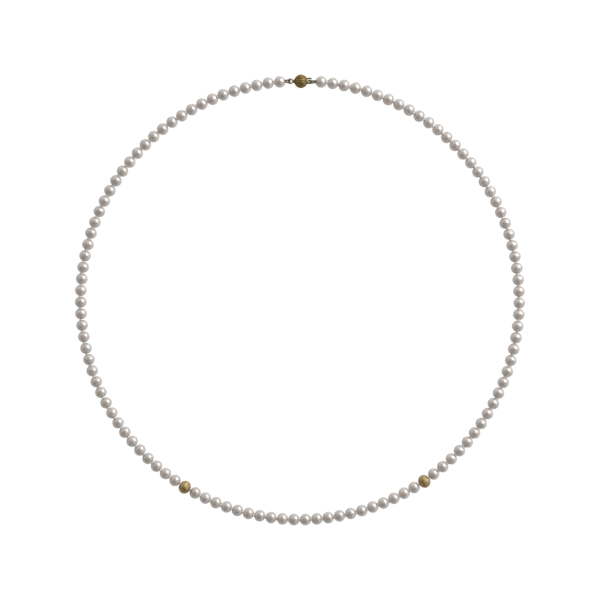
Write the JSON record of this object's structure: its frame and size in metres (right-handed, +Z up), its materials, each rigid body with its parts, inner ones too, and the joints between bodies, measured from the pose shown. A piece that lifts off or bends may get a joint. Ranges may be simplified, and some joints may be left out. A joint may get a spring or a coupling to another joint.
{
  "type": "pearl necklace",
  "caption": "Single strand of small round white pearls with two frosted gold spacer beads and a gold ball clasp, lying closed in a circle.",
  "frame": {"origin": "centre of the closed strand's bounding box, on the surface it lies on", "axes": "+Z up from the surface, +Y from the worn front towards the clasp, +X towards the side that ends in the clasp's tongue"},
  "size_m": [0.1472, 0.1472, 0.0044],
  "materials": {
    "pearl": "pearl lustre",
    "silk": "matte",
    "gold_frosted": "frosted",
    "gold_brushed": "brushed",
    "gold_plain": "satin",
    "french_wire": "satin"
  },
  "bodies": {
    "pearls_front_4": {"pearls_front_4": "pearl", "silk_thread": "silk"},
    "pearls_front_3": {"pearls_front_3": "pearl"},
    "pearls_front_2": {"pearls_front_2": "pearl"},
    "pearls_front_1": {"pearls_front_1": "pearl"},
    "pearls_right_16": {"pearls_right_16": "pearl"},
    "pearls_right_15": {"pearls_right_15": "pearl"},
    "pearls_right_14": {"pearls_right_14": "pearl"},
    "pearls_right_13": {"pearls_right_13": "pearl"},
    "pearls_right_12": {"pearls_right_12": "pearl"},
    "pearls_right_11": {"pearls_right_11": "pearl"},
    "pearls_right_10": {"pearls_right_10": "pearl"},
    "pearls_right_09": {"pearls_right_09": "pearl"},
    "pearls_right_08": {"pearls_right_08": "pearl"},
    "pearls_right_07": {"pearls_right_07": "pearl"},
    "pearls_right_06": {"pearls_right_06": "pearl"},
    "pearls_right_05": {"pearls_right_05": "pearl"},
    "pearls_right_04": {"pearls_right_04": "pearl"},
    "pearls_right_03": {"pearls_right_03": "pearl"},
    "pearls_right_02": {"pearls_right_02": "pearl"},
    "pearls_right_01": {"pearls_right_01": "pearl", "gimp_right": "french_wire"},
    "pearls_front_5": {"pearls_front_5": "pearl"},
    "pearls_front_6": {"pearls_front_6": "pearl"},
    "pearls_front_7": {"pearls_front_7": "pearl"},
    "pearls_left_16": {"pearls_left_16": "pearl"},
    "pearls_left_15": {"pearls_left_15": "pearl"},
    "pearls_left_14": {"pearls_left_14": "pearl"},
    "pearls_left_13": {"pearls_left_13": "pearl"},
    "pearls_left_12": {"pearls_left_12": "pearl"},
    "pearls_left_11": {"pearls_left_11": "pearl"},
    "pearls_left_10": {"pearls_left_10": "pearl"},
    "pearls_left_09": {"pearls_left_09": "pearl"},
    "pearls_left_08": {"pearls_left_08": "pearl"},
    "pearls_left_07": {"pearls_left_07": "pearl"},
    "pearls_left_06": {"pearls_left_06": "pearl"},
    "pearls_left_05": {"pearls_left_05": "pearl"},
    "pearls_left_04": {"pearls_left_04": "pearl"},
    "pearls_left_03": {"pearls_left_03": "pearl"},
    "pearls_left_02": {"pearls_left_02": "pearl"},
    "pearls_left_01": {"pearls_left_01": "pearl", "gimp_left": "french_wire"},
    "gold_bead_right": {"gold_bead_right": "gold_frosted"},
    "gold_bead_left": {"gold_bead_left": "gold_frosted"},
    "clasp_ball": {"ball_half_rear": "gold_brushed", "ball_half_front": "gold_brushed", "catch_plate": "gold_plain", "ball_eyelet": "gold_plain"},
    "clasp_tongue": {"tongue_blade": "gold_plain", "tongue_end_plate": "gold_plain", "tongue_eyelet": "gold_plain"},
    "tongue_spring": {"tongue_spring": "gold_plain"}
  },
  "joints": [
    {"name": "strand_oval", "type": "hinge", "parent": "pearls_front_4", "child": "pearls_front_3", "pos_m": [0.00738, -0.07148, 0.00193], "axis": [0, 0, 1], "range_deg": [-5.81, 5.81], "deforming": ["silk_thread"]},
    {"name": "strand_open_right", "type": "hinge", "parent": "pearls_front_3", "child": "pearls_front_2", "pos_m": [0.01845, -0.06945, 0.00193], "axis": [0, 0, -1], "range_deg": [0, 8.72], "deforming": ["silk_thread"]},
    {"name": "front_1_bend", "type": "hinge", "parent": "pearls_front_2", "child": "pearls_front_1", "pos_m": [0.02907, -0.06572, 0.00193], "axis": [0, 0, 1], "range_deg": [-14, 14], "deforming": ["silk_thread"]},
    {"name": "right_16_bend", "type": "hinge", "parent": "pearls_front_1", "child": "pearls_right_16", "pos_m": [0.04227, -0.05811, 0.00193], "axis": [0, 0, -1], "range_deg": [-14, 14], "deforming": ["silk_thread"]},
    {"name": "right_15_bend", "type": "hinge", "parent": "pearls_right_16", "child": "pearls_right_15", "pos_m": [0.05094, -0.05069, 0.00193], "axis": [0, 0, -1], "range_deg": [-14, 14], "deforming": ["silk_thread"]},
    {"name": "right_14_bend", "type": "hinge", "parent": "pearls_right_15", "child": "pearls_right_14", "pos_m": [0.05833, -0.04196, 0.00193], "axis": [0, 0, -1], "range_deg": [-14, 14], "deforming": ["silk_thread"]},
    {"name": "right_13_bend", "type": "hinge", "parent": "pearls_right_14", "child": "pearls_right_13", "pos_m": [0.06425, -0.03218, 0.00193], "axis": [0, 0, 1], "range_deg": [-14, 14], "deforming": ["silk_thread"]},
    {"name": "right_12_bend", "type": "hinge", "parent": "pearls_right_13", "child": "pearls_right_12", "pos_m": [0.06855, -0.02157, 0.00193], "axis": [0, 0, -1], "range_deg": [-14, 14], "deforming": ["silk_thread"]},
    {"name": "right_11_bend", "type": "hinge", "parent": "pearls_right_12", "child": "pearls_right_11", "pos_m": [0.0711, -0.01042, 0.00193], "axis": [0, 0, 1], "range_deg": [-14, 14], "deforming": ["silk_thread"]},
    {"name": "right_10_bend", "type": "hinge", "parent": "pearls_right_11", "child": "pearls_right_10", "pos_m": [0.07185, 0.00099, 0.00193], "axis": [0, 0, 1], "range_deg": [-14, 14], "deforming": ["silk_thread"]},
    {"name": "right_09_bend", "type": "hinge", "parent": "pearls_right_10", "child": "pearls_right_09", "pos_m": [0.07079, 0.01238, 0.00193], "axis": [0, 0, 1], "range_deg": [-14, 14], "deforming": ["silk_thread"]},
    {"name": "right_08_bend", "type": "hinge", "parent": "pearls_right_09", "child": "pearls_right_08", "pos_m": [0.06792, 0.02346, 0.00193], "axis": [0, 0, -1], "range_deg": [-14, 14], "deforming": ["silk_thread"]},
    {"name": "right_07_bend", "type": "hinge", "parent": "pearls_right_08", "child": "pearls_right_07", "pos_m": [0.06334, 0.03394, 0.00193], "axis": [0, 0, 1], "range_deg": [-14, 14], "deforming": ["silk_thread"]},
    {"name": "right_06_bend", "type": "hinge", "parent": "pearls_right_07", "child": "pearls_right_06", "pos_m": [0.05715, 0.04356, 0.00193], "axis": [0, 0, -1], "range_deg": [-14, 14], "deforming": ["silk_thread"]},
    {"name": "right_05_bend", "type": "hinge", "parent": "pearls_right_06", "child": "pearls_right_05", "pos_m": [0.04952, 0.05207, 0.00193], "axis": [0, 0, -1], "range_deg": [-14, 14], "deforming": ["silk_thread"]},
    {"name": "right_04_bend", "type": "hinge", "parent": "pearls_right_05", "child": "pearls_right_04", "pos_m": [0.04063, 0.05927, 0.00193], "axis": [0, 0, -1], "range_deg": [-14, 14], "deforming": ["silk_thread"]},
    {"name": "right_03_bend", "type": "hinge", "parent": "pearls_right_04", "child": "pearls_right_03", "pos_m": [0.03071, 0.06497, 0.00193], "axis": [0, 0, 1], "range_deg": [-14, 14], "deforming": ["silk_thread"]},
    {"name": "right_02_bend", "type": "hinge", "parent": "pearls_right_03", "child": "pearls_right_02", "pos_m": [0.02001, 0.06902, 0.00193], "axis": [0, 0, -1], "range_deg": [-14, 14], "deforming": ["silk_thread"]},
    {"name": "right_01_bend", "type": "hinge", "parent": "pearls_right_02", "child": "pearls_right_01", "pos_m": [0.00881, 0.07132, 0.00193], "axis": [0, 0, 1], "range_deg": [-14, 14], "deforming": ["silk_thread"]},
    {"name": "tongue_eyelet_swing", "type": "hinge", "parent": "pearls_right_01", "child": "clasp_tongue", "pos_m": [0.00374, 0.07133, 0.0022], "axis": [0, 0, -1], "range_deg": [-14, 14], "deforming": ["silk_thread"]},
    {"name": "front_5_bend", "type": "hinge", "parent": "pearls_front_4", "child": "pearls_front_5", "pos_m": [-0.00388, -0.07176, 0.00193], "axis": [0, 0, -1], "range_deg": [-14, 14], "deforming": ["silk_thread"]},
    {"name": "strand_open_left", "type": "hinge", "parent": "pearls_front_5", "child": "pearls_front_6", "pos_m": [-0.01503, -0.07027, 0.00193], "axis": [0, 0, 1], "range_deg": [0, 8.77], "deforming": ["silk_thread"]},
    {"name": "front_7_bend", "type": "hinge", "parent": "pearls_front_6", "child": "pearls_front_7", "pos_m": [-0.02582, -0.06706, 0.00193], "axis": [0, 0, -1], "range_deg": [-14, 14], "deforming": ["silk_thread"]},
    {"name": "left_16_bend", "type": "hinge", "parent": "pearls_front_7", "child": "pearls_left_16", "pos_m": [-0.03938, -0.06011, 0.00193], "axis": [0, 0, 1], "range_deg": [-14, 14], "deforming": ["silk_thread"]},
    {"name": "left_15_bend", "type": "hinge", "parent": "pearls_left_16", "child": "pearls_left_15", "pos_m": [-0.0484, -0.05312, 0.00193], "axis": [0, 0, 1], "range_deg": [-14, 14], "deforming": ["silk_thread"]},
    {"name": "left_14_bend", "type": "hinge", "parent": "pearls_left_15", "child": "pearls_left_14", "pos_m": [-0.05621, -0.04476, 0.00193], "axis": [0, 0, 1], "range_deg": [-14, 14], "deforming": ["silk_thread"]},
    {"name": "left_13_bend", "type": "hinge", "parent": "pearls_left_14", "child": "pearls_left_13", "pos_m": [-0.06261, -0.03528, 0.00193], "axis": [0, 0, -1], "range_deg": [-14, 14], "deforming": ["silk_thread"]},
    {"name": "left_12_bend", "type": "hinge", "parent": "pearls_left_13", "child": "pearls_left_12", "pos_m": [-0.06741, -0.0249, 0.00193], "axis": [0, 0, 1], "range_deg": [-14, 14], "deforming": ["silk_thread"]},
    {"name": "left_11_bend", "type": "hinge", "parent": "pearls_left_12", "child": "pearls_left_11", "pos_m": [-0.07051, -0.01388, 0.00193], "axis": [0, 0, -1], "range_deg": [-14, 14], "deforming": ["silk_thread"]},
    {"name": "left_10_bend", "type": "hinge", "parent": "pearls_left_11", "child": "pearls_left_10", "pos_m": [-0.07182, -0.00252, 0.00193], "axis": [0, 0, -1], "range_deg": [-14, 14], "deforming": ["silk_thread"]},
    {"name": "left_09_bend", "type": "hinge", "parent": "pearls_left_10", "child": "pearls_left_09", "pos_m": [-0.07131, 0.00891, 0.00193], "axis": [0, 0, -1], "range_deg": [-14, 14], "deforming": ["silk_thread"]},
    {"name": "left_08_bend", "type": "hinge", "parent": "pearls_left_09", "child": "pearls_left_08", "pos_m": [-0.06899, 0.02011, 0.00193], "axis": [0, 0, 1], "range_deg": [-14, 14], "deforming": ["silk_thread"]},
    {"name": "left_07_bend", "type": "hinge", "parent": "pearls_left_08", "child": "pearls_left_07", "pos_m": [-0.06492, 0.0308, 0.00193], "axis": [0, 0, -1], "range_deg": [-14, 14], "deforming": ["silk_thread"]},
    {"name": "left_06_bend", "type": "hinge", "parent": "pearls_left_07", "child": "pearls_left_06", "pos_m": [-0.05921, 0.04071, 0.00193], "axis": [0, 0, 1], "range_deg": [-14, 14], "deforming": ["silk_thread"]},
    {"name": "left_05_bend", "type": "hinge", "parent": "pearls_left_06", "child": "pearls_left_05", "pos_m": [-0.052, 0.04959, 0.00193], "axis": [0, 0, 1], "range_deg": [-14, 14], "deforming": ["silk_thread"]},
    {"name": "left_04_bend", "type": "hinge", "parent": "pearls_left_05", "child": "pearls_left_04", "pos_m": [-0.04348, 0.05722, 0.00193], "axis": [0, 0, 1], "range_deg": [-14, 14], "deforming": ["silk_thread"]},
    {"name": "left_03_bend", "type": "hinge", "parent": "pearls_left_04", "child": "pearls_left_03", "pos_m": [-0.03385, 0.06339, 0.00193], "axis": [0, 0, -1], "range_deg": [-14, 14], "deforming": ["silk_thread"]},
    {"name": "left_02_bend", "type": "hinge", "parent": "pearls_left_03", "child": "pearls_left_02", "pos_m": [-0.02336, 0.06796, 0.00193], "axis": [0, 0, 1], "range_deg": [-14, 14], "deforming": ["silk_thread"]},
    {"name": "left_01_bend", "type": "hinge", "parent": "pearls_left_02", "child": "pearls_left_01", "pos_m": [-0.01228, 0.0708, 0.00193], "axis": [0, 0, -1], "range_deg": [-14, 14], "deforming": ["silk_thread"]},
    {"name": "ball_eyelet_swing", "type": "hinge", "parent": "pearls_left_01", "child": "clasp_ball", "pos_m": [-0.00379, 0.07155, 0.0022], "axis": [0, 0, 1], "range_deg": [-14, 14], "deforming": ["silk_thread"]},
    {"name": "gold_bead_right_spin", "type": "hinge", "parent": "pearls_front_1", "child": "gold_bead_right", "pos_m": [0.04062, -0.05924, 0.00217], "axis": [0.8247, 0.5655, 0], "continuous": true},
    {"name": "gold_bead_left_spin", "type": "hinge", "parent": "pearls_front_7", "child": "gold_bead_left", "pos_m": [-0.03768, -0.06115, 0.00217], "axis": [-0.8514, 0.5246, 0], "continuous": true},
    {"name": "tongue_spring_press", "type": "hinge", "parent": "clasp_tongue", "child": "tongue_spring", "pos_m": [-0.00087, 0.07148, 0.0022], "axis": [0, 0, -1], "range_deg": [0, 2.6], "stiffness_Nm_per_rad": 0.002}
  ],
  "couplings": [
    {"joint": "front_1_bend", "follows": "strand_oval", "ratio": 0.81155},
    {"joint": "right_16_bend", "follows": "strand_open_right", "ratio": 0.84742},
    {"joint": "right_15_bend", "follows": "strand_open_right", "ratio": 0.74482},
    {"joint": "right_14_bend", "follows": "strand_open_right", "ratio": 0.62332},
    {"joint": "right_13_bend", "follows": "strand_oval", "ratio": -0.41173},
    {"joint": "right_12_bend", "follows": "strand_open_right", "ratio": 0.33686},
    {"joint": "right_11_bend", "follows": "strand_oval", "ratio": -0.86297},
    {"joint": "right_10_bend", "follows": "strand_oval", "ratio": -0.93559},
    {"joint": "right_09_bend", "follows": "strand_oval", "ratio": -0.90229},
    {"joint": "right_08_bend", "follows": "strand_open_right", "ratio": -0.30441},
    {"joint": "right_07_bend", "follows": "strand_oval", "ratio": -0.57843},
    {"joint": "right_06_bend", "follows": "strand_open_right", "ratio": -0.59505},
    {"joint": "right_05_bend", "follows": "strand_open_right", "ratio": -0.71961},
    {"joint": "right_04_bend", "follows": "strand_open_right", "ratio": -0.82607},
    {"joint": "right_03_bend", "follows": "strand_oval", "ratio": 0.69824},
    {"joint": "right_02_bend", "follows": "strand_open_right", "ratio": -0.97403},
    {"joint": "right_01_bend", "follows": "strand_oval", "ratio": 1.1808},
    {"joint": "tongue_eyelet_swing", "follows": "strand_open_right", "ratio": -1.0201},
    {"joint": "front_5_bend", "follows": "strand_oval", "ratio": 1},
    {"joint": "front_7_bend", "follows": "strand_oval", "ratio": 0.81159},
    {"joint": "left_16_bend", "follows": "strand_open_left", "ratio": 0.8705},
    {"joint": "left_15_bend", "follows": "strand_open_left", "ratio": 0.7768},
    {"joint": "left_14_bend", "follows": "strand_open_left", "ratio": 0.66333},
    {"joint": "left_13_bend", "follows": "strand_oval", "ratio": -0.41173},
    {"joint": "left_12_bend", "follows": "strand_open_left", "ratio": 0.38942},
    {"joint": "left_11_bend", "follows": "strand_oval", "ratio": -0.86297},
    {"joint": "left_10_bend", "follows": "strand_oval", "ratio": -0.93559},
    {"joint": "left_09_bend", "follows": "strand_oval", "ratio": -0.90229},
    {"joint": "left_08_bend", "follows": "strand_open_left", "ratio": -0.24459},
    {"joint": "left_07_bend", "follows": "strand_oval", "ratio": -0.57843},
    {"joint": "left_06_bend", "follows": "strand_open_left", "ratio": -0.54138},
    {"joint": "left_05_bend", "follows": "strand_open_left", "ratio": -0.67135},
    {"joint": "left_04_bend", "follows": "strand_open_left", "ratio": -0.78462},
    {"joint": "left_03_bend", "follows": "strand_oval", "ratio": 0.69827},
    {"joint": "left_02_bend", "follows": "strand_open_left", "ratio": -0.94966},
    {"joint": "left_01_bend", "follows": "strand_oval", "ratio": 1.1808},
    {"joint": "ball_eyelet_swing", "follows": "strand_open_left", "ratio": -1.016}
  ]
}
